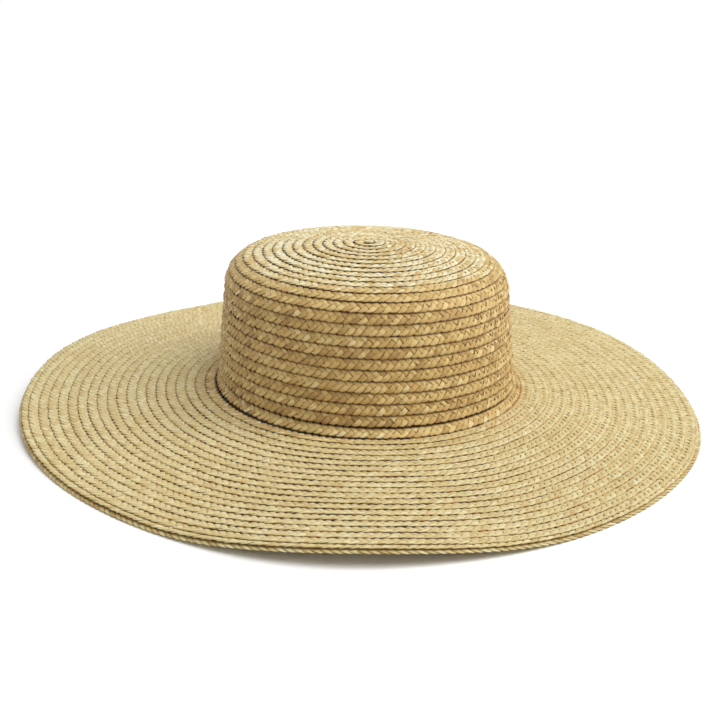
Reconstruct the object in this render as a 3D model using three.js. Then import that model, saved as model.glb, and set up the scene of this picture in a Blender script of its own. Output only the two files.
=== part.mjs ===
// Straw boater hat: a low flat crown and a wide brim, made of straw braid sewn edge over edge in one spiral.
// Units are millimetres and +Z is up. The hat stands on its rim at z = 0, with its front towards -Y.
//
// The shell is drawn as a meridian, in r (distance from the hat's axis, measured at the side of the head) and z.
// The meridian is carried round the hat by bearings: 0 degrees is the front, 90 the right-hand side, 180 the back.
import * as THREE from 'three';

// Straw
const WALL = 2.0;                       // one sewn layer of braid
const EDGE_WALL = 1.4;                  // the single flat braid under the rim
const GAP = 0.3;                        // clearance between neighbouring pieces

// Crown, outside sizes
const TIP_HEIGHT = 93.5;                // middle of the tip above the floor, before the crown's lean
const TIP_SLOPE = THREE.MathUtils.degToRad(12);   // fall of the domed tip where its shoulder begins
const CROWN_TOP_HALF_WIDTH = 83.5;      // side wall just under the shoulder
const CROWN_BASE_HALF_WIDTH = 88.5;     // side wall at the brim
const CROWN_DEPTH_RATIO = 1.05;         // front-to-back size over side-to-side size: a head is oval
const CROWN_SHIFT = 4;                  // the crown sits this far to the right on the brim
const CROWN_LEAN = 4;                   // its left side stands this much higher than its right side
const SHOULDER_RADIUS = 19;
const SEAM_ANGLE = THREE.MathUtils.degToRad(45);  // place on the shoulder where tip and side are parted
const COVE_RADIUS = 6;                  // hollow curve from the side wall into the brim

// Brim, outside sizes
const BRIM_HALF_WIDTH = 200;            // out to the edge braid
const BRIM_DEPTH_RATIO = 1.1;
const BRIM_TOP_AT_CROWN = 9;            // upper face above the floor, where the cove ends
const BRIM_FALL_POWER = 2.4;            // the brim falls close to the crown and is flat farther out
const EDGE_BRAID_WIDTH = 8;
const RIM_STARTS_AT = BRIM_HALF_WIDTH - EDGE_BRAID_WIDTH;
const EDGE_BRAID_SHOWS = 1.8;           // the edge braid reaches this far beyond the brim's last row

// Waves of the soft rim, which die out towards the crown. Between them the rim lies flat on the floor.
// bearing: middle of the wave; spread: half its length; both in degrees.
// lift: height of the rim above the floor; reach: extra distance from the axis.
const RIM_WAVES = [
  { where: 'front', bearing: 0, spread: 33, lift: 6.8, reach: 0 },
  { where: 'right front', bearing: 45, spread: 60, lift: 0, reach: 2.2 },
  { where: 'right', bearing: 95, spread: 35, lift: 0, reach: -3.7 },
  { where: 'back', bearing: 180, spread: 25, lift: 4, reach: 0 },
  { where: 'left', bearing: 261, spread: 51, lift: 8.1, reach: 0 },
  { where: 'left front', bearing: 320, spread: 42, lift: 0, reach: -5.2 },
];

// Facets
const BEARINGS = 72;
const TIP_STATIONS = 5;
const SHOULDER_STATIONS = 3;            // for each half of the shoulder
const WALL_STATIONS = 3;
const COVE_STATIONS = 3;
const BRIM_STATIONS = 5;

const { lerp, clamp, degToRad, euclideanModulo } = THREE.MathUtils;

// ---- Round the hat ----

// Sum of the rim's waves at a bearing, for one column of RIM_WAVES.
function rimWave(bearing, column) {
  let sum = 0;
  for (const wave of RIM_WAVES) {
    const away = Math.abs(euclideanModulo(bearing - wave.bearing + 180, 360) - 180);
    if (away < wave.spread) sum += wave[column] * Math.cos((Math.PI / 2) * (away / wave.spread)) ** 2;
  }
  return sum;
}

// Meridian point {r, z} carried to a bearing.
function placed({ r, z }, bearing) {
  const out = clamp((r - CROWN_BASE_HALF_WIDTH) / (RIM_STARTS_AT - CROWN_BASE_HALF_WIDTH), 0, 1);
  const angle = degToRad(bearing);
  const toTheLeft = -Math.sin(angle) * Math.min(r / CROWN_BASE_HALF_WIDTH, 1);
  const lean = CROWN_LEAN * (1 + toTheLeft) / 2;
  const depthRatio = lerp(CROWN_DEPTH_RATIO, BRIM_DEPTH_RATIO, out);
  const reach = r + rimWave(bearing, 'reach') * out;
  return new THREE.Vector3(
    reach * Math.sin(angle) + CROWN_SHIFT * (1 - out),
    -reach * depthRatio * Math.cos(angle),
    z + lerp(lean, rimWave(bearing, 'lift'), out),
  );
}

// ---- Meridian: stations are {r, z, nr, nz}, a point on the outer face and its outward normal ----

function station(r, z, nr, nz) {
  const length = Math.hypot(nr, nz);
  return { r, z, nr: nr / length, nz: nz / length };
}

// A list of count + 1 stations, at evenly spaced fractions from 0 to 1.
function stations(count, at) {
  return Array.from({ length: count + 1 }, (_, i) => at(i / count));
}

const TIP_RADIUS = CROWN_TOP_HALF_WIDTH - SHOULDER_RADIUS * (1 - Math.sin(TIP_SLOPE));
const TIP_DOME = (TIP_RADIUS * Math.tan(TIP_SLOPE)) / 2;
const SHOULDER_CENTRE = {
  r: CROWN_TOP_HALF_WIDTH - SHOULDER_RADIUS,
  z: TIP_HEIGHT - TIP_DOME - SHOULDER_RADIUS * Math.cos(TIP_SLOPE),
};

const COVE_CENTRE = {
  r: CROWN_BASE_HALF_WIDTH + COVE_RADIUS,
  z: BRIM_TOP_AT_CROWN + COVE_RADIUS,
};
const WALL_TAPER = Math.atan2(
  CROWN_BASE_HALF_WIDTH - CROWN_TOP_HALF_WIDTH,
  SHOULDER_CENTRE.z - COVE_CENTRE.z,
);

// Domed middle of the tip: a parabola that meets the shoulder at its slope.
function tipStation(fraction) {
  const r = TIP_RADIUS * fraction;
  return station(r, TIP_HEIGHT - TIP_DOME * fraction ** 2, Math.tan(TIP_SLOPE) * fraction, 1);
}

// Shoulder, at an angle from straight up.
function shoulderStation(angle) {
  const nr = Math.sin(angle);
  const nz = Math.cos(angle);
  return station(SHOULDER_CENTRE.r + SHOULDER_RADIUS * nr, SHOULDER_CENTRE.z + SHOULDER_RADIUS * nz, nr, nz);
}

// Cove, at an angle from straight down.
function coveStation(angle) {
  const nr = Math.sin(angle);
  const nz = Math.cos(angle);
  return station(COVE_CENTRE.r - COVE_RADIUS * nr, COVE_CENTRE.z - COVE_RADIUS * nz, nr, nz);
}

// Brim: so nearly level that its thickness is measured straight down.
function brimStation(fraction, fromR, toR) {
  const r = lerp(fromR, toR, fraction);
  const rimTop = EDGE_WALL + GAP + WALL;
  const fall = BRIM_TOP_AT_CROWN - rimTop;
  return station(r, rimTop + fall * (1 - fraction) ** BRIM_FALL_POWER, 0, 1);
}

const SHOULDER_END = Math.PI / 2 - WALL_TAPER;
const SEAM_HALF_GAP = GAP / 2 / SHOULDER_RADIUS;

function crownTipMeridian() {
  const shoulder = stations(SHOULDER_STATIONS, (f) => (
    shoulderStation(lerp(TIP_SLOPE, SEAM_ANGLE - SEAM_HALF_GAP, f))
  ));
  return [...stations(TIP_STATIONS, tipStation), ...shoulder.slice(1)];
}

function crownSideMeridian() {
  const shoulder = stations(SHOULDER_STATIONS, (f) => (
    shoulderStation(lerp(SEAM_ANGLE + SEAM_HALF_GAP, SHOULDER_END, f))
  ));
  const cove = stations(COVE_STATIONS, (f) => coveStation(lerp(SHOULDER_END, 0, f)));
  const top = shoulder.at(-1);
  const foot = cove[0];
  const wall = stations(WALL_STATIONS, (f) => (
    station(lerp(top.r, foot.r, f), lerp(top.z, foot.z, f), foot.nr, foot.nz)
  ));
  return [...shoulder, ...wall.slice(1, -1), ...cove];
}

function brimMeridian() {
  const fromR = COVE_CENTRE.r + GAP;
  const toR = BRIM_HALF_WIDTH - EDGE_BRAID_SHOWS;
  return stations(BRIM_STATIONS, (f) => brimStation(f, fromR, toR));
}

function edgeBraidMeridian() {
  return [
    station(RIM_STARTS_AT, EDGE_WALL, 0, 1),
    station(BRIM_HALF_WIDTH, EDGE_WALL, 0, 1),
  ];
}

// ---- Solids ----

function innerFace(outerFace, wall) {
  return outerFace.map(({ r, z, nr, nz }) => ({ r: r - nr * wall, z: z - nz * wall }));
}

// Closed ring: the section's loop runs up one face and back down the other.
function ringGeometry(outerFace, wall) {
  const loop = [...outerFace, ...innerFace(outerFace, wall).reverse()];
  const positions = [];
  const indices = [];
  const at = (turn, i) => (turn % BEARINGS) * loop.length + (i % loop.length);
  for (let turn = 0; turn < BEARINGS; turn += 1) {
    for (let i = 0; i < loop.length; i += 1) {
      positions.push(...placed(loop[i], (turn * 360) / BEARINGS));
      indices.push(at(turn, i), at(turn, i + 1), at(turn + 1, i));
      indices.push(at(turn + 1, i), at(turn, i + 1), at(turn + 1, i + 1));
    }
  }
  return indexedGeometry(positions, indices);
}

// Closed cap: like the ring, but both faces end in one point on the hat's axis.
function capGeometry(outerFace, wall) {
  const inner = innerFace(outerFace, wall);
  const path = [...outerFace.slice(1), ...inner.slice(1).reverse()];
  const positions = [];
  const indices = [];
  const topPoint = BEARINGS * path.length;
  const underPoint = topPoint + 1;
  const at = (turn, i) => (turn % BEARINGS) * path.length + i;
  for (let turn = 0; turn < BEARINGS; turn += 1) {
    for (const point of path) positions.push(...placed(point, (turn * 360) / BEARINGS));
    indices.push(topPoint, at(turn, 0), at(turn + 1, 0));
    for (let i = 0; i < path.length - 1; i += 1) {
      indices.push(at(turn, i), at(turn, i + 1), at(turn + 1, i));
      indices.push(at(turn + 1, i), at(turn, i + 1), at(turn + 1, i + 1));
    }
    indices.push(underPoint, at(turn + 1, path.length - 1), at(turn, path.length - 1));
  }
  positions.push(...placed(outerFace[0], 0), ...placed(inner[0], 0));
  return indexedGeometry(positions, indices);
}

function indexedGeometry(positions, indices) {
  const geometry = new THREE.BufferGeometry();
  geometry.setAttribute('position', new THREE.Float32BufferAttribute(positions, 3));
  geometry.setIndex(indices);
  geometry.computeVertexNormals();
  return geometry;
}

// ---- The hat ----

const PIECES = [
  { name: 'crown_tip', geometry: capGeometry(crownTipMeridian(), WALL), color: 0xd9bf8c },
  { name: 'crown_side', geometry: ringGeometry(crownSideMeridian(), WALL), color: 0xd2b47c },
  { name: 'brim', geometry: ringGeometry(brimMeridian(), WALL), color: 0xdabf88 },
  { name: 'edge_braid', geometry: ringGeometry(edgeBraidMeridian(), EDGE_WALL), color: 0xcfae76 },
];

const hat = new THREE.Group();
hat.name = 'straw_boater_hat';
for (const { name, geometry, color } of PIECES) {
  const material = new THREE.MeshStandardMaterial({ color, roughness: 0.85, metalness: 0 });
  const piece = new THREE.Mesh(geometry, material);
  piece.name = name;
  hat.add(piece);
}

// The waves make the rim slightly uneven, so the middle of its outline is brought over the origin.
const middle = new THREE.Box3().setFromObject(hat).getCenter(new THREE.Vector3());
for (const piece of hat.children) piece.geometry.translate(-middle.x, -middle.y, 0);

export default hat;
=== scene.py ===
import math

import bpy
import numpy as np
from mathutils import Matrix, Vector


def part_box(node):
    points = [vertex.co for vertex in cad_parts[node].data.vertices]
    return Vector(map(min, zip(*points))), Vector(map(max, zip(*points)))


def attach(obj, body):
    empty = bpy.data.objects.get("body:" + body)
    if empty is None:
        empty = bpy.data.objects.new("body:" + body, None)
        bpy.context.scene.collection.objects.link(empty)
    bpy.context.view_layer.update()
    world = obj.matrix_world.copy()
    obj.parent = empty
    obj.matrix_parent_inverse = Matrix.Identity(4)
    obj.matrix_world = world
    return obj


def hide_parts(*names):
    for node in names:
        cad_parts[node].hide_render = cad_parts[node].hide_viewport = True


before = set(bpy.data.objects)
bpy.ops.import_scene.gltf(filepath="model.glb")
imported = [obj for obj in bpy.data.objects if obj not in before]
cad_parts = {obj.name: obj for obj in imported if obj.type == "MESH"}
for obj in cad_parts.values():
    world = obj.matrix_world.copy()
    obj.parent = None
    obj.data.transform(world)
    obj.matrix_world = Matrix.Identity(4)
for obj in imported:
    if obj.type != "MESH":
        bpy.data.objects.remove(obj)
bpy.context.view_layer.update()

MM = 0.001
FULL_TURN = 2 * math.pi
SEED = 7

# Shell that the plait is laid on: the same driving sizes as the CAD model.
WALL = 2.0 * MM
EDGE_WALL = 1.4 * MM
TIP_HEIGHT = 93.5 * MM
TIP_SLOPE = math.radians(12)
CROWN_TOP_HALF_WIDTH = 83.5 * MM
CROWN_BASE_HALF_WIDTH = 88.5 * MM
CROWN_DEPTH_RATIO = 1.05
CROWN_SHIFT = 4.0 * MM
CROWN_LEAN = 4.0 * MM
SHOULDER_RADIUS = 19.0 * MM
COVE_RADIUS = 6.0 * MM
BRIM_HALF_WIDTH = 200.0 * MM
BRIM_DEPTH_RATIO = 1.1
BRIM_TOP_AT_CROWN = 9.0 * MM
BRIM_TOP_AT_RIM = 3.7 * MM
BRIM_FALL_POWER = 2.4
EDGE_BRAID_WIDTH = 8.0 * MM
EDGE_BRAID_SHOWS = 1.8 * MM
RIM_STARTS_AT = BRIM_HALF_WIDTH - EDGE_BRAID_WIDTH
MERIDIAN_STEPS = 120            # points along each stretch of the meridian

# Waves of the rim: middle and half length in degrees, height and extra reach in metres.
RIM_WAVES = [
    {"bearing": 0, "spread": 33, "lift": 6.8 * MM, "reach": 0},
    {"bearing": 45, "spread": 60, "lift": 0, "reach": 2.2 * MM},
    {"bearing": 95, "spread": 35, "lift": 0, "reach": -3.7 * MM},
    {"bearing": 180, "spread": 25, "lift": 4.0 * MM, "reach": 0},
    {"bearing": 261, "spread": 51, "lift": 8.1 * MM, "reach": 0},
    {"bearing": 320, "spread": 42, "lift": 0, "reach": -5.2 * MM},
]

# Spiral of the long plait.
ROWS = 46                       # turns of the spiral; the last one follows the rim
SPIRAL_STARTS_AT = 0.45         # turns from the middle of the tip
SPIRAL_EYE = 0.2 * MM           # nearest that the plait's middle comes to the middle of the tip
SPIRAL_BEARING = math.pi        # the plait ends at the back of the hat
SPIRAL_SAMPLES = 60000
START_TAPER = 1.2               # turns over which the plait reaches its full width
START_WIDTH = 0.45              # share of its width that it starts with
PLAIT_SINK = 1.1 * MM           # depth of the plait's middle under the outer face of the shell
LAST_TURN_TUCK = 1.0 * MM       # how much deeper the last turn ends, under the turn before it

# Plait of three strands. Across and up are measured from the middle of the plait.
PLAIT_PERIOD = 12.5 * MM        # one strand is back on the same side after this length
PLAIT_SWING = 2.32 * MM         # how far a strand's middle swings to each side
PLAIT_RISE_FLAT = 0.34 * MM     # how far a strand rises over the others, pressed flat on tip and brim
PLAIT_RISE_WALL = 0.52 * MM     # and rounder on the upright wall
LAP_TILT_FLAT = 0.135           # slope across a row, whose outer edge stands up on the next row
LAP_TILT_WALL = 0.27            # and more so on the upright wall
STRAND_WIDTH = 3.6 * MM
STRAND_THICKNESS = 0.8 * MM
STRAND_SHOWS_PAST_SWING = 0.35  # share of its width that a strand reaches beyond its middle where it turns
NARROWER_AT_TURN = 0.22         # share of its width that a strand loses where it turns back
TWIST_AT_FOLD = 0.22            # radians that a strand rolls as it crosses the middle
TWIST_FLAT = 0.14               # radians that a strand rolls at random
TWIST_WALL = 0.34
PLAIT_HALF_WIDTH = PLAIT_SWING + STRAND_WIDTH / 2
STATIONS_PER_PERIOD = 10
SECTION_POINTS = 6

# Unevenness of hand plaiting: the share by which each thing varies, and the length between changes.
UNEVEN = {
    "lap": (0.28, 16 * MM),
    "phase": (0.22, 9 * MM),
    "swing": (0.06, 14 * MM),
    "rise": (0.25, 7 * MM),
    "twist": (1.0, 11 * MM),
    "width": (0.17, 12 * MM),
    "thickness": (0.15, 6 * MM),
    "tone": (0.5, 60 * MM),
}
LEAF_TONE_SHARE = 0.55          # of a strand's tone, the share that changes from leaf to leaf
# Painted shade on the upright wall: there the straw takes darker tones than on the tip and brim.
PAINTED_WALL_SHADE_SHARE = 0.32              # of a strand's tone, the share that differs between wall, tip and brim
PAINTED_WALL_SHADE_FADE = 8.0 * MM           # half the distance over which that share changes
PALER_SHOULDER_STEPS = 20       # how far the paler tip reaches round the shoulder, of MERIDIAN_STEPS
STRAW_APART = 40.0              # metres of grain between two strands, so that no two look alike
EDGE_STRAW_STARTS = 200.0       # metres of grain before the edge plait's first strand

# Plait sewn flat under the rim.
EDGE_PLAIT_INSET = 0.15 * MM
EDGE_PLAIT_SWING = 0.98         # share of the long plait's swing
EDGE_PLAIT_THICKNESS = 0.9      # share of the long plait's strand thickness
RIM_SAMPLES = 4000

# Pieces of the long plait from the tip outward, with the CAD node that each one stands for.
SPIRAL_PIECES = {
    "tip_plait": "crown_tip",
    "side_plait_upper": "crown_side",
    "side_plait_lower": "crown_side",
    "brim_plait_inner": "brim",
    "brim_plait_middle": "brim",
    "brim_plait_outer": "brim",
}
BRIM_CUTS = (0.42, 0.73)        # where the brim's three pieces meet, as shares of the way to the rim

# Straw. A ramp is (place, value, place, value) along what it reads. Across the plait, 0 is its inner
# edge and 1 its outer edge.
# Painted shade under the lap of the row before, near each row's inner edge.
LAP_SHADE_PLACES = (0.18, 1.0, 0.31, 0.0)
# Painted shade along each row's outer edge, broken into dashes.
OUTER_SHADE_PLACES = (0.81, 0.0, 0.93, 1.0)
STRAND_EDGE = (0.70, 0.0, 0.98, 1.0)
FLECKS = (0.66, 0.0, 0.74, 1.0)
OUTER_SHADE_DASHES = (0.47, 0.0, 0.60, 1.0)
FLECK_STRENGTH = 0.5
FIBRE_STRENGTH = 0.75
FIBRE_MIDDLE = (0.95, 0.93, 0.88)
FIBRE_PALE = (1.0, 1.0, 1.0)

# Grain per metre: along the strand, across it, and through its section.
FIBRE_GRAIN = (60, 2600, 0.3)
CREASE_GRAIN = (25, 900, 0.2)
FLECK_GRAIN = (45, 160, 0.2)
DASH_GRAIN = (120, 30, 0.1)

# In both looks the dark joint colour is painted shade under each lap, and it also darkens both edges of
# every strand; dashes break that shade up.
CROWN_LOOK = {
    "outline": 0.60,
    "joint_shade_colour": (0.12, 0.048, 0.010),
    "joint_shade_dashes": (0.0, 0.9, 0.5, 1.0),
    "outer_edge_painted_shade": 0.65,
    "fleck_and_shade_colour": (0.26, 0.10, 0.022),
    "fibre_dark": (0.46, 0.34, 0.19),
    # The wall takes the lower part of this ramp, darker than the tip: painted shade on the upright wall.
    "tones": [
        (0.0, (0.33, 0.187, 0.061)),
        (0.28, (0.55, 0.369, 0.127)),
        (0.55, (0.693, 0.522, 0.22)),
        (0.80, (0.84, 0.77, 0.50)),
        (1.0, (0.89, 0.85, 0.62)),
    ],
}
# In both looks the brown flecks share their colour with the painted shade along each row's outer edge.
BRIM_LOOK = {
    "outline": 0.12,
    "joint_shade_colour": (0.40, 0.175, 0.038),
    "joint_shade_dashes": (0.40, 0.55, 0.55, 1.0),
    "outer_edge_painted_shade": 0.95,
    "fleck_and_shade_colour": (0.40, 0.16, 0.03),
    "fibre_dark": (0.60, 0.48, 0.31),
    "tones": [
        (0.0, (0.45, 0.295, 0.10)),
        (0.35, (0.59, 0.445, 0.185)),
        (0.65, (0.67, 0.56, 0.275)),
        (1.0, (0.77, 0.70, 0.42)),
    ],
}

# Studio.
FLOOR_COLOUR = (0.95, 0.95, 0.95, 1.0)
FLOOR_HALF_WIDTH = 80.0
SKY_STRENGTH = 0.56
BACKDROP_STRENGTH = 1.0
SUN_DIRECTION = (0.38, -0.18, 0.90)
SUN_STRENGTH = 1.75
SUN_SOFTNESS = math.radians(50)
SOFTBOX_PLACE = (0.85, -0.12, 0.62)
SOFTBOX_SIZE = 0.5
SOFTBOX_POWER = 3.5

# Camera in front of the hat, looking down on it.
CAMERA_ELEVATION = math.radians(17.87)
CAMERA_DISTANCE = 760 * MM
CAMERA_TARGET_HEIGHT = 40 * MM
CAMERA_FOCAL = 63.57            # millimetres
CAMERA_SENSOR = 36              # millimetres
CAMERA_SHIFT = -0.0401          # share of the picture's width; it stands the hat a little higher in it


# ---------- The shell's meridian ----------

def meridian():
    """Points (r, z) along the outer face from the middle of the tip to the rim, and the length to each."""
    tip_radius = CROWN_TOP_HALF_WIDTH - SHOULDER_RADIUS * (1 - math.sin(TIP_SLOPE))
    dome = tip_radius * math.tan(TIP_SLOPE) / 2
    shoulder_r = CROWN_TOP_HALF_WIDTH - SHOULDER_RADIUS
    shoulder_z = TIP_HEIGHT - dome - SHOULDER_RADIUS * math.cos(TIP_SLOPE)
    cove_r = CROWN_BASE_HALF_WIDTH + COVE_RADIUS
    cove_z = BRIM_TOP_AT_CROWN + COVE_RADIUS
    taper = math.atan2(CROWN_BASE_HALF_WIDTH - CROWN_TOP_HALF_WIDTH, shoulder_z - cove_z)

    step = np.linspace(0, 1, MERIDIAN_STEPS)
    tip = np.stack([tip_radius * step, TIP_HEIGHT - dome * step ** 2], axis=1)
    angle = TIP_SLOPE + (math.pi / 2 - taper - TIP_SLOPE) * step
    shoulder = np.stack([
        shoulder_r + SHOULDER_RADIUS * np.sin(angle),
        shoulder_z + SHOULDER_RADIUS * np.cos(angle),
    ], axis=1)
    angle = (math.pi / 2 - taper) * (1 - step)
    cove = np.stack([
        cove_r - COVE_RADIUS * np.sin(angle),
        cove_z - COVE_RADIUS * np.cos(angle),
    ], axis=1)
    wall = shoulder[-1] + (cove[0] - shoulder[-1]) * step[:, None]
    brim_end = BRIM_HALF_WIDTH - EDGE_BRAID_SHOWS
    fall = (BRIM_TOP_AT_CROWN - BRIM_TOP_AT_RIM) * (1 - step) ** BRIM_FALL_POWER
    brim = np.stack([cove_r + (brim_end - cove_r) * step, BRIM_TOP_AT_RIM + fall], axis=1)
    points = np.concatenate([tip, shoulder[1:], wall[1:], cove[1:], brim[1:]])
    return points, length_along(points)


def length_along(points):
    """Length of a polyline up to each of its points."""
    steps = np.linalg.norm(np.diff(points, axis=0), axis=1)
    return np.concatenate([[0], np.cumsum(steps)])


def rim_wave(bearing, column):
    degrees = np.degrees(bearing)
    total = np.zeros_like(bearing)
    for wave in RIM_WAVES:
        away = np.abs((degrees - wave["bearing"] + 180) % 360 - 180)
        hump = np.cos(math.pi / 2 * away / wave["spread"]) ** 2
        total += np.where(away < wave["spread"], wave[column] * hump, 0)
    return total


def placed(r, z, bearing):
    """Meridian points carried round the hat."""
    out = np.clip((r - CROWN_BASE_HALF_WIDTH) / (RIM_STARTS_AT - CROWN_BASE_HALF_WIDTH), 0, 1)
    to_the_left = -np.sin(bearing) * np.minimum(r / CROWN_BASE_HALF_WIDTH, 1)
    lean = CROWN_LEAN * (1 + to_the_left) / 2
    depth_ratio = CROWN_DEPTH_RATIO + (BRIM_DEPTH_RATIO - CROWN_DEPTH_RATIO) * out
    reach = r + rim_wave(bearing, "reach") * out
    return np.stack([
        reach * np.sin(bearing) + CROWN_SHIFT * (1 - out),
        -reach * depth_ratio * np.cos(bearing),
        z + lean * (1 - out) + rim_wave(bearing, "lift") * out,
    ], axis=-1)


def centring_shift():
    """The CAD model stands with the middle of its outline over the origin."""
    bearing = np.radians(np.arange(0, 360, 5.0))
    rim = placed(np.full_like(bearing, BRIM_HALF_WIDTH), np.zeros_like(bearing), bearing)
    return np.array([*(-(rim.max(0) + rim.min(0))[:2] / 2), 0.0])


MERIDIAN, MERIDIAN_LENGTH = meridian()
SHELL_LENGTH = MERIDIAN_LENGTH[-1]
WALL_END = MERIDIAN_LENGTH[np.searchsorted(MERIDIAN[:, 0], CROWN_BASE_HALF_WIDTH + COVE_RADIUS)]
PALE_TIP_ENDS = MERIDIAN_LENGTH[MERIDIAN_STEPS + PALER_SHOULDER_STEPS]
SHIFT = centring_shift()


def shell_point(along, bearing):
    """Point of the outer face at a distance down the meridian. Past the rim, it carries on outward."""
    r = np.interp(along, MERIDIAN_LENGTH, MERIDIAN[:, 0])
    z = np.interp(along, MERIDIAN_LENGTH, MERIDIAN[:, 1])
    beyond = np.maximum(along - SHELL_LENGTH, 0)
    return placed(r + beyond, z, bearing) + SHIFT


def unit(vectors):
    return vectors / np.linalg.norm(vectors, axis=-1, keepdims=True)


def shell_frame(along, bearing):
    """Point, direction down the meridian and outward normal of the shell."""
    step = 0.4 * MM
    turn = 0.002
    down = unit(shell_point(along + step, bearing) - shell_point(along - step, bearing))
    around = unit(shell_point(along, bearing + turn) - shell_point(along, bearing - turn))
    return shell_point(along, bearing), down, unit(np.cross(down, around))


# ---------- The plait ----------

def spiral():
    """Stations evenly spaced along the plait: turns made, and length so far."""
    turns = np.linspace(SPIRAL_STARTS_AT, ROWS, SPIRAL_SAMPLES)
    length = length_along(shell_point(centre_along(turns), spiral_bearing(turns)))
    stations = int(length[-1] / PLAIT_PERIOD * STATIONS_PER_PERIOD)
    at = np.linspace(0, length[-1], stations)
    return np.interp(at, length, turns), at


def spiral_bearing(turns):
    return SPIRAL_BEARING + FULL_TURN * turns


def centre_along(turns):
    """Distance down the meridian of the plait's middle.

    Rows are equally wide down the front of the hat. The first half turn is the spiral's eye, and the
    last turn follows the rim.
    """
    front_length = length_along(placed(*MERIDIAN.T, np.zeros(len(MERIDIAN))))
    rim = SHELL_LENGTH - PLAIT_SWING - STRAND_WIDTH * STRAND_SHOWS_PAST_SWING
    row = np.interp(rim, MERIDIAN_LENGTH, front_length) / (ROWS - 1.5)
    along = np.interp((turns - 0.5) * row, front_length, MERIDIAN_LENGTH)
    return np.clip(along, SPIRAL_EYE, rim)


def uneven(rng, length, what):
    """Random values, within plus and minus its share, that change smoothly along the plait."""
    share, spacing = UNEVEN[what]
    knots = rng.uniform(-1, 1, int(length.max() / spacing) + 3)
    return share * np.interp(length / spacing, np.arange(len(knots)), knots)


def spiral_lay(rng, turns, length):
    """How the long plait lies on the shell at each station."""
    point, down, normal = shell_frame(centre_along(turns), spiral_bearing(turns))
    begin = np.clip((turns - SPIRAL_STARTS_AT) / START_TAPER, 0, 1)
    last_turn = np.clip(turns - (ROWS - 1), 0, 1)
    steep = np.clip(1 - np.abs(normal[:, 2]), 0, 1)
    return {
        "along": centre_along(turns),
        "point": point,
        "down": down,
        "normal": normal,
        "steep": steep,
        "tilt": between(LAP_TILT_FLAT, LAP_TILT_WALL, steep) * (1 + uneven(rng, length, "lap")),
        "narrow": START_WIDTH + (1 - START_WIDTH) * begin,
        "sink": -PLAIT_SINK - LAST_TURN_TUCK * last_turn,
    }


def between(flat, wall, steep):
    """A value for the flat parts of the hat turned into one for the upright wall as the shell steepens."""
    return flat + (wall - flat) * steep


def long_strand(rng, k, length, lay):
    """Tube of strand k of the long plait."""
    phase = FULL_TURN * (length / PLAIT_PERIOD - k / 3) + uneven(rng, length, "phase")
    swing = PLAIT_SWING * (1 + uneven(rng, length, "swing"))
    across = swing * np.sin(phase) * lay["narrow"]
    rise = between(PLAIT_RISE_FLAT, PLAIT_RISE_WALL, lay["steep"])
    up = -rise * np.sin(2 * phase) * (1 + uneven(rng, length, "rise"))
    height = up + lay["tilt"] * across + lay["sink"]
    middle = lay["point"] + lay["down"] * across[:, None] + lay["normal"] * height[:, None]

    tangent = unit(np.gradient(middle, axis=0))
    tilted = unit(lay["normal"] - lay["down"] * lay["tilt"][:, None])
    level = unit(np.cross(tilted, tangent))
    upright = unit(np.cross(tangent, level))
    twist = between(TWIST_FLAT, TWIST_WALL, lay["steep"]) * uneven(rng, length, "twist")
    twist = (twist - TWIST_AT_FOLD * np.sin(phase) * np.cos(phase))[:, None]
    side = level * np.cos(twist) + upright * np.sin(twist)
    top = upright * np.cos(twist) - level * np.sin(twist)

    width = strand_width(phase) * (1 + uneven(rng, length, "width"))
    thickness = STRAND_THICKNESS * (1 + uneven(rng, length, "thickness"))
    ring = ring_around(middle, side, top, width, thickness)
    tone = leaf_tones(rng, phase, length)
    # Painted shade: darker tone on the upright wall, paler on tip and brim.
    tone = (1 - PAINTED_WALL_SHADE_SHARE) * tone + PAINTED_WALL_SHADE_SHARE * clear_of_painted_wall_shade(lay["along"])
    edge = ((ring - lay["point"][:, None, :]) * lay["down"][:, None, :]).sum(-1) / PLAIT_HALF_WIDTH
    return ring, straw_coordinates(length + k * STRAW_APART, width), tone, edge


def strand_width(phase):
    return STRAND_WIDTH * (1 - NARROWER_AT_TURN * np.abs(np.sin(phase)) ** 4)


def strand_section():
    """Flat lens, as (across, up) in units of the strand's width and thickness."""
    angle = np.linspace(0, FULL_TURN, SECTION_POINTS, endpoint=False)
    return np.cos(angle) / 2, np.sin(angle) / 2


def ring_around(middle, side, top, width, thickness):
    """Ring of section points at each station of a strand."""
    section_across, section_up = strand_section()
    across = (width[:, None] * section_across)[:, :, None]
    up = (thickness[:, None] * section_up)[:, :, None]
    return middle[:, None, :] + side[:, None, :] * across + top[:, None, :] * up


def straw_coordinates(grain, width):
    """Where each section point is in its straw: along the grain, across it, and up in its section."""
    section_across, section_up = strand_section()
    straw = np.empty((len(grain), SECTION_POINTS, 3))
    straw[..., 0] = grain[:, None]
    straw[..., 1] = width[:, None] * section_across
    straw[..., 2] = section_up
    return straw


def leaf_tones(rng, phase, length):
    """One tone for each leaf of straw, from 0 to 1, drifting slowly along the strand."""
    leaf = np.floor(phase / math.pi)
    index = (leaf - leaf.min()).astype(int)
    each = rng.uniform(0, 1, index.max() + 1)
    drift = 0.5 + uneven(rng, length, "tone")
    return LEAF_TONE_SHARE * each[index] + (1 - LEAF_TONE_SHARE) * drift


def clear_of_painted_wall_shade(along):
    """1 on the tip and on the brim, falling to 0 on the wall, where the straw is darker: painted shade."""
    off_the_wall = np.maximum(PALE_TIP_ENDS - along, along - WALL_END)
    return np.clip(0.5 + off_the_wall / (2 * PAINTED_WALL_SHADE_FADE), 0, 1)


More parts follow.
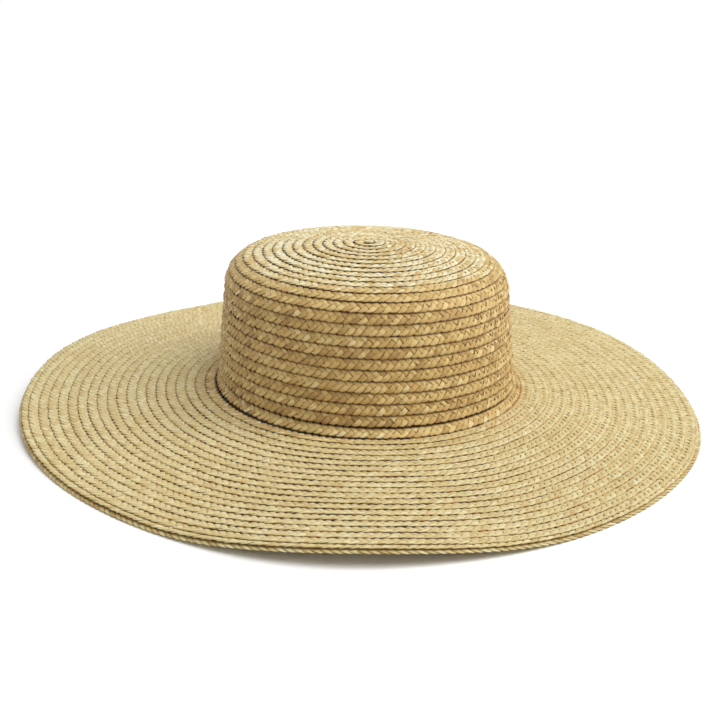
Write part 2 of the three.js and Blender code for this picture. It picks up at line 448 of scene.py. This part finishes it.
def long_plait():
    """The pieces of the long plait, by name."""
    rng = np.random.default_rng(SEED)
    turns, length = spiral()
    lay = spiral_lay(rng, turns, length)
    strands = [long_strand(rng, k, length, lay) for k in range(3)]
    along = lay["along"]
    tip_ends = along_at_height(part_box("crown_side")[1].z - WALL)
    brim_cuts = [WALL_END + (SHELL_LENGTH - WALL_END) * share for share in BRIM_CUTS]
    limits = [0, tip_ends, (tip_ends + WALL_END) / 2, WALL_END, *brim_cuts, math.inf]
    pieces = {}
    for name, low, high in zip(SPIRAL_PIECES, limits[:-1], limits[1:]):
        where = np.nonzero((along >= low) & (along < high))[0]
        chosen = slice(where[0], where[-1] + 2)
        tubes = [tuple(part[chosen] for part in strand) for strand in strands]
        pieces[name] = strand_mesh(name, tubes)
    return pieces


def along_at_height(height):
    """Distance down the meridian to where the crown comes down to a height."""
    crown = MERIDIAN[:, 0] < CROWN_BASE_HALF_WIDTH
    return MERIDIAN_LENGTH[np.nonzero(crown & (MERIDIAN[:, 1] > height))[0][-1]]


def edge_plait():
    """The closed plait sewn flat under the rim, with a whole number of periods."""
    rng = np.random.default_rng(SEED + 1)
    middle_r = BRIM_HALF_WIDTH - EDGE_BRAID_WIDTH / 2 - EDGE_PLAIT_INSET
    bearing = np.linspace(0, FULL_TURN, RIM_SAMPLES + 1)
    length_at = length_along(placed(np.full_like(bearing, middle_r), np.zeros_like(bearing), bearing))
    total = length_at[-1]
    periods = round(total / PLAIT_PERIOD)
    length = np.linspace(0, total, periods * STATIONS_PER_PERIOD, endpoint=False)
    turn = np.interp(length, length_at, bearing)
    tubes = [edge_strand(rng, k, length, turn, middle_r, total / periods) for k in range(3)]
    return strand_mesh("edge_plait", tubes, closed=True)


def edge_strand(rng, k, length, bearing, middle_r, period):
    """Tube of strand k of the edge plait, kept off the floor."""
    phase = FULL_TURN * (length / period - k / 3)
    across = PLAIT_SWING * EDGE_PLAIT_SWING * np.sin(phase)
    up = EDGE_WALL / 2 + PLAIT_RISE_FLAT * np.sin(2 * phase)
    middle = placed(middle_r + across, up, bearing) + SHIFT
    tangent = unit(np.roll(middle, -1, axis=0) - np.roll(middle, 1, axis=0))
    side = unit(np.cross([0, 0, 1.0], tangent))
    top = unit(np.cross(tangent, side))
    width = strand_width(phase)
    thickness = np.full_like(width, STRAND_THICKNESS * EDGE_PLAIT_THICKNESS)
    ring = ring_around(middle, side, top, width, thickness)
    ring[..., 2] = np.maximum(ring[..., 2], 0.0)
    straw = straw_coordinates(length + EDGE_STRAW_STARTS + k * STRAW_APART, width)
    edge = (across[:, None] + straw[..., 1]) / PLAIT_HALF_WIDTH
    return ring, straw, leaf_tones(rng, phase, length), edge


# ---------- Meshes ----------

def tube_faces(stations, closed):
    """Quads of one tube."""
    point = np.arange(SECTION_POINTS)
    following = (point + 1) % SECTION_POINTS
    steps = np.arange(stations if closed else stations - 1)
    here = steps[:, None] * SECTION_POINTS
    ahead = ((steps + 1) % stations)[:, None] * SECTION_POINTS
    quads = np.stack([here + point, here + following, ahead + following, ahead + point], axis=-1)
    return quads.reshape(-1, 4)


def tube_caps(stations):
    """The two end faces of one tube."""
    point = np.arange(SECTION_POINTS)
    return [point[::-1], point + (stations - 1) * SECTION_POINTS]


def strand_mesh(name, tubes, closed=False):
    """One object of many tubes. Each tube is (ring, straw, tone, edge)."""
    quads, caps = [], []
    base = 0
    for ring, *_ in tubes:
        quads.append(tube_faces(len(ring), closed) + base)
        if not closed:
            caps.extend(cap + base for cap in tube_caps(len(ring)))
        base += len(ring) * SECTION_POINTS
    rings, straws, tones, edges = (np.concatenate(part) for part in zip(*tubes))
    mesh = mesh_of(name, rings.reshape(-1, 3), np.concatenate(quads), caps)
    add_attribute(mesh, "straw", "FLOAT_VECTOR", straws)
    add_attribute(mesh, "tone", "FLOAT", np.repeat(tones, SECTION_POINTS))
    add_attribute(mesh, "edge", "FLOAT", edges)
    mesh.validate()
    obj = bpy.data.objects.new(name, mesh)
    bpy.context.scene.collection.objects.link(obj)
    return obj


def mesh_of(name, verts, quads, caps):
    """Smooth mesh of quads and end faces."""
    sizes = [4] * len(quads) + [SECTION_POINTS] * len(caps)
    starts = np.concatenate([[0], np.cumsum(sizes)[:-1]]).astype(np.int32)
    loops = np.concatenate([quads.ravel(), *caps]).astype(np.int32)
    mesh = bpy.data.meshes.new(name)
    mesh.vertices.add(len(verts))
    mesh.vertices.foreach_set("co", verts.astype(np.float32).ravel())
    mesh.loops.add(len(loops))
    mesh.loops.foreach_set("vertex_index", loops)
    mesh.polygons.add(len(sizes))
    mesh.polygons.foreach_set("loop_start", starts)
    mesh.polygons.foreach_set("use_smooth", np.ones(len(sizes), bool))
    mesh.update(calc_edges=True)
    return mesh


def add_attribute(mesh, name, kind, values):
    made = mesh.attributes.new(name, kind, "POINT")
    field = "vector" if kind == "FLOAT_VECTOR" else "value"
    made.data.foreach_set(field, values.astype(np.float32).ravel())


# ---------- Straw ----------

def node(tree, kind, **settings):
    made = tree.nodes.new(kind)
    for key, value in settings.items():
        setattr(made, key, value)
    return made


def link(tree, start, end):
    tree.links.new(start, end)


def attribute(tree, name, output):
    return node(tree, "ShaderNodeAttribute", attribute_name=name).outputs[output]


def grain_noise(tree, straw, grain, detail):
    """Noise in the strand's own coordinates, long along the fibres and fine across them."""
    mapping = node(tree, "ShaderNodeMapping")
    mapping.inputs["Scale"].default_value = grain
    link(tree, straw, mapping.inputs["Vector"])
    noise = node(tree, "ShaderNodeTexNoise")
    noise.inputs["Scale"].default_value = 1.0
    noise.inputs["Detail"].default_value = detail
    noise.inputs["Roughness"].default_value = 0.55
    link(tree, mapping.outputs["Vector"], noise.inputs["Vector"])
    return noise.outputs["Fac"]


def ramp(tree, source, stops):
    made = node(tree, "ShaderNodeValToRGB")
    elements = made.color_ramp.elements
    while len(elements) < len(stops):
        elements.new(0.5)
    for element, (position, colour) in zip(elements, stops):
        element.position = position
        element.color = (*colour, 1.0)
    link(tree, source, made.inputs["Fac"])
    return made.outputs["Color"]


def mask(tree, source, places, strength=1.0):
    """Grey ramp between two places, as a factor."""
    start, low, end, high = places
    return ramp(tree, source, [(start, (low * strength,) * 3), (end, (high * strength,) * 3)])


def mix(tree, factor, first, second, blend="MIX"):
    made = node(tree, "ShaderNodeMix", data_type="RGBA", blend_type=blend)
    if isinstance(factor, float):
        made.inputs["Factor"].default_value = factor
    else:
        link(tree, factor, made.inputs["Factor"])
    for value, name in ((first, "A"), (second, "B")):
        socket = [s for s in made.inputs if s.name == name and s.type == "RGBA"][0]
        if isinstance(value, tuple):
            socket.default_value = (*value, 1.0)
        else:
            link(tree, value, socket)
    return [s for s in made.outputs if s.type == "RGBA"][0]


def calculated(tree, operation, first, second=None):
    made = node(tree, "ShaderNodeMath", operation=operation)
    link(tree, first, made.inputs[0])
    if second is not None:
        made.inputs[1].default_value = second
    return made.outputs["Value"]


def mapped(tree, source, **limits):
    """Map Range node with the named limits, such as to_min."""
    made = node(tree, "ShaderNodeMapRange")
    for name, value in limits.items():
        made.inputs[name.replace("_", " ").title()].default_value = value
    link(tree, source, made.inputs["Value"])
    return made.outputs["Result"]


def bump(tree, height, strength, distance, under=None):
    made = node(tree, "ShaderNodeBump")
    made.inputs["Strength"].default_value = strength
    made.inputs["Distance"].default_value = distance
    link(tree, height, made.inputs["Height"])
    if under is not None:
        link(tree, under, made.inputs["Normal"])
    return made.outputs["Normal"]


def leaf_colour(tree, look, straw, fibres):
    """A tone for each leaf, darkened along its fibres, with a few brown flecks."""
    leaf = ramp(tree, attribute(tree, "tone", "Fac"), look["tones"])
    fibre = ramp(tree, fibres, [(0.28, look["fibre_dark"]), (0.5, FIBRE_MIDDLE), (0.75, FIBRE_PALE)])
    colour = mix(tree, FIBRE_STRENGTH, leaf, fibre, "MULTIPLY")
    flecks = mask(tree, grain_noise(tree, straw, FLECK_GRAIN, detail=2.0), FLECKS)
    fleck_share = calculated(tree, "MULTIPLY", flecks, FLECK_STRENGTH)
    return mix(tree, fleck_share, colour, look["fleck_and_shade_colour"])


def with_painted_shade(tree, look, straw, colour):
    """Dark brown along the two edges of each strand, and painted shade under each lap and in dashes at
    each row's outer edge.
    """
    parts = node(tree, "ShaderNodeSeparateXYZ")
    link(tree, straw, parts.inputs["Vector"])
    from_middle = calculated(tree, "ABSOLUTE", parts.outputs["Y"])
    share = calculated(tree, "DIVIDE", from_middle, STRAND_WIDTH / 2)
    outline = mask(tree, share, STRAND_EDGE, look["outline"])
    colour = mix(tree, outline, colour, look["joint_shade_colour"])

    across = mapped(tree, attribute(tree, "edge", "Fac"), from_min=-1.0)
    dashes = grain_noise(tree, straw, DASH_GRAIN, detail=1.0)
    # Painted shade in the joint under each lap, broken into dashes.
    under_lap_shade = mask(tree, across, LAP_SHADE_PLACES)
    joint = mix(tree, 1.0, under_lap_shade, mask(tree, dashes, look["joint_shade_dashes"]), "MULTIPLY")
    colour = mix(tree, joint, colour, look["joint_shade_colour"])
    # Painted shade along each row's outer edge, broken into dashes.
    outer_edge = mask(tree, across, OUTER_SHADE_PLACES, look["outer_edge_painted_shade"])
    outer_edge_painted_shade = mix(tree, 1.0, outer_edge, mask(tree, dashes, OUTER_SHADE_DASHES), "MULTIPLY")
    return mix(tree, outer_edge_painted_shade, colour, look["fleck_and_shade_colour"])


def straw_material(name, look):
    """Dried raffia: toned leaves with long fibres and creases, with painted shade in the joints."""
    material = bpy.data.materials.new(name)
    material.use_nodes = True
    tree = material.node_tree
    tree.nodes.clear()
    straw = attribute(tree, "straw", "Vector")
    fibres = grain_noise(tree, straw, FIBRE_GRAIN, detail=4.0)
    creases = grain_noise(tree, straw, CREASE_GRAIN, detail=1.0)
    colour = with_painted_shade(tree, look, straw, leaf_colour(tree, look, straw, fibres))
    fibre_relief = bump(tree, fibres, strength=0.8, distance=0.25 * MM)
    relief = bump(tree, creases, strength=0.9, distance=0.5 * MM, under=fibre_relief)

    shader = node(tree, "ShaderNodeBsdfPrincipled")
    shader.inputs["Specular IOR Level"].default_value = 0.35
    shader.inputs["Sheen Weight"].default_value = 0.15
    link(tree, colour, shader.inputs["Base Color"])
    link(tree, mapped(tree, fibres, to_min=0.45, to_max=0.75), shader.inputs["Roughness"])
    link(tree, relief, shader.inputs["Normal"])
    output = node(tree, "ShaderNodeOutputMaterial")
    link(tree, shader.outputs["BSDF"], output.inputs["Surface"])
    return material


def build_hat():
    crown_straw = straw_material("crown_straw", CROWN_LOOK)
    brim_straw = straw_material("brim_straw", BRIM_LOOK)
    plaits = [(piece, SPIRAL_PIECES[name]) for name, piece in long_plait().items()]
    plaits.append((edge_plait(), "edge_braid"))
    for piece, cad_node in plaits:
        on_crown = cad_node.startswith("crown")
        piece.data.materials.append(crown_straw if on_crown else brim_straw)
        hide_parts(cad_node)
        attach(piece, "root")


# ---------- Floor, light and camera ----------

def floor_material():
    material = bpy.data.materials.new("studio_floor")
    material.use_nodes = True
    shader = material.node_tree.nodes["Principled BSDF"]
    shader.inputs["Base Color"].default_value = FLOOR_COLOUR
    shader.inputs["Roughness"].default_value = 0.9
    shader.inputs["Specular IOR Level"].default_value = 0.0
    return material


def studio_floor():
    size = FLOOR_HALF_WIDTH
    mesh = bpy.data.meshes.new("studio_floor")
    corners = [(-size, -size, 0), (size, -size, 0), (size, size, 0), (-size, size, 0)]
    mesh.from_pydata(corners, [], [(0, 1, 2, 3)])
    floor = bpy.data.objects.new("studio_floor", mesh)
    floor.data.materials.append(floor_material())
    bpy.context.scene.collection.objects.link(floor)


def light(name, kind, away, **settings):
    """A light that shines on the origin from the direction away."""
    data = bpy.data.lights.new(name, kind)
    for key, value in settings.items():
        setattr(data, key, value)
    made = bpy.data.objects.new(name, data)
    made.location = away
    made.rotation_euler = Vector(away).to_track_quat("Z", "Y").to_euler()
    bpy.context.scene.collection.objects.link(made)


def studio_light():
    light("overhead_light", "SUN", SUN_DIRECTION, energy=SUN_STRENGTH, angle=SUN_SOFTNESS)
    light("key_softbox", "AREA", SOFTBOX_PLACE, shape="DISK", size=SOFTBOX_SIZE, energy=SOFTBOX_POWER)
    bpy.context.scene.world = studio_sky()


def studio_sky():
    """Even sky that lights the hat softly. Seen directly, past the floor, it is as pale as the floor."""
    world = bpy.data.worlds.new("studio")
    world.use_nodes = True
    tree = world.node_tree
    tree.nodes.clear()
    either = node(tree, "ShaderNodeMixShader")
    path = node(tree, "ShaderNodeLightPath")
    link(tree, path.outputs["Is Camera Ray"], either.inputs[0])
    for socket, strength in ((1, SKY_STRENGTH), (2, BACKDROP_STRENGTH)):
        background = node(tree, "ShaderNodeBackground")
        background.inputs["Color"].default_value = (1, 1, 1, 1)
        background.inputs["Strength"].default_value = strength
        link(tree, background.outputs["Background"], either.inputs[socket])
    output = node(tree, "ShaderNodeOutputWorld")
    link(tree, either.outputs["Shader"], output.inputs["Surface"])
    return world


def studio_camera():
    data = bpy.data.cameras.new("camera")
    data.lens = CAMERA_FOCAL
    data.sensor_width = CAMERA_SENSOR
    data.shift_y = CAMERA_SHIFT
    data.clip_start = 0.01
    camera = bpy.data.objects.new("camera", data)
    back = Vector((0, -math.cos(CAMERA_ELEVATION), math.sin(CAMERA_ELEVATION)))
    target = Vector((float(SHIFT[0]), float(SHIFT[1]), CAMERA_TARGET_HEIGHT))
    camera.location = target + back * CAMERA_DISTANCE
    camera.rotation_euler = (-back).to_track_quat("-Z", "Y").to_euler()
    bpy.context.scene.collection.objects.link(camera)
    bpy.context.scene.camera = camera


build_hat()
studio_floor()
studio_light()
studio_camera()
bpy.context.scene.view_settings.view_transform = "Standard"

bpy.context.view_layer.update()
